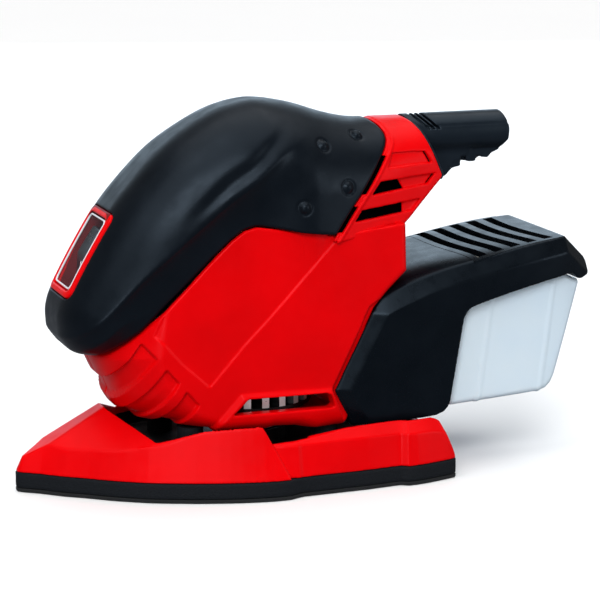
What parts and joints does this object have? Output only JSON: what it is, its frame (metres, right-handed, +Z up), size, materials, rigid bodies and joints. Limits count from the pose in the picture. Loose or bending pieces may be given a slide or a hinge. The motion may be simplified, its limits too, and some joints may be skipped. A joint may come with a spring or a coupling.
{
  "type": "detail mouse sander",
  "caption": "Iron-shaped orbital detail sander with soft-grip hood, front rocker switch under a clear boot, pointed hook pad, vertical motor and a slide-on dust box with a clear bin.",
  "frame": {"origin": "middle of the overall length and width, on the plane of the sanding sole", "axes": "+X to the rear (cord and dust box), nose points -X; +Y to the tool's right seen from behind; +Z up from the sole"},
  "size_m": [0.2452, 0.1026, 0.1582],
  "materials": {
    "red_plastic": "satin-gloss moulded red ABS",
    "soft_grip": "matt slate-black soft-touch",
    "black_plastic": "matt black nylon",
    "foam_rubber": "dull black foam and rubber",
    "steel": "plain machined steel",
    "cast_alloy": "as-cast light alloy",
    "copper": "enamelled copper",
    "clear_plastic": "frosted clear polypropylene",
    "filter_paper": "pleated filter paper"
  },
  "bodies": {
    "housing": {"stator_core": "steel", "field_coil_left": "copper", "field_coil_right": "copper", "lower_bearing": "steel", "upper_bearing": "steel", "bearing_bridge": "cast_alloy", "fan_baffle": "black_plastic", "brush_holder_left": "black_plastic", "brush_holder_right": "black_plastic", "brush_left": "foam_rubber", "brush_right": "foam_rubber", "capacitor": "black_plastic", "housing_left": "red_plastic", "housing_right": "red_plastic", "grip_cover": "soft_grip", "vent_collar": "red_plastic", "cord_sleeve": "soft_grip", "cord_clamp": "black_plastic", "switch_bezel": "red_plastic", "switch_boot": "clear_plastic", "switch_body": "black_plastic", "dust_outlet": "black_plastic", "rubber_foot_1": "foam_rubber", "rubber_foot_2": "foam_rubber", "rubber_foot_3": "foam_rubber", "rubber_foot_4": "foam_rubber", "housing_screw_1": "steel", "housing_screw_2": "steel", "housing_screw_3": "steel", "housing_screw_4": "steel", "housing_screw_5": "steel", "housing_screw_6": "steel"},
    "rotor": {"armature_shaft": "steel", "armature_core": "steel", "commutator": "copper", "fan": "cast_alloy", "eccentric_weight": "steel", "bearing_screw": "steel"},
    "pad": {"hook_face": "foam_rubber", "foam_pad": "foam_rubber", "base_plate": "cast_alloy", "base_shell": "red_plastic", "eccentric_bearing": "steel", "pad_screw_1": "steel", "pad_screw_2": "steel", "pad_screw_3": "steel", "pad_screw_4": "steel"},
    "rocker": {"switch_rocker": "black_plastic"},
    "dust_box": {"box_frame": "soft_grip", "filter_frame": "black_plastic", "filter_element": "filter_paper", "outlet_seal": "foam_rubber"},
    "bin": {"dust_bin": "clear_plastic"}
  },
  "joints": [
    {"name": "rotor_spin", "type": "hinge", "parent": "housing", "child": "rotor", "pos_m": [-0.02275, 0, 0.06], "axis": [0, 0, 1], "continuous": true},
    {"name": "pad_orbit", "type": "hinge", "parent": "rotor", "child": "pad", "pos_m": [-0.02175, 0, 0.0157], "axis": [0, 0, 1], "continuous": true},
    {"name": "switch_rocker_tilt", "type": "hinge", "parent": "housing", "child": "rocker", "pos_m": [-0.08372, 0, 0.09357], "axis": [0, 1, 0], "range_deg": [0, 14]},
    {"name": "dust_box_slide", "type": "slide", "parent": "housing", "child": "dust_box", "axis": [1, 0, 0], "range_m": [0, 0.11]},
    {"name": "bin_tip", "type": "hinge", "parent": "dust_box", "child": "bin", "pos_m": [0.05725, 0, 0.028], "axis": [0, 1, 0], "range_deg": [0, 25]}
  ],
  "couplings": [
    {"joint": "pad_orbit", "follows": "rotor_spin", "ratio": -1}
  ]
}
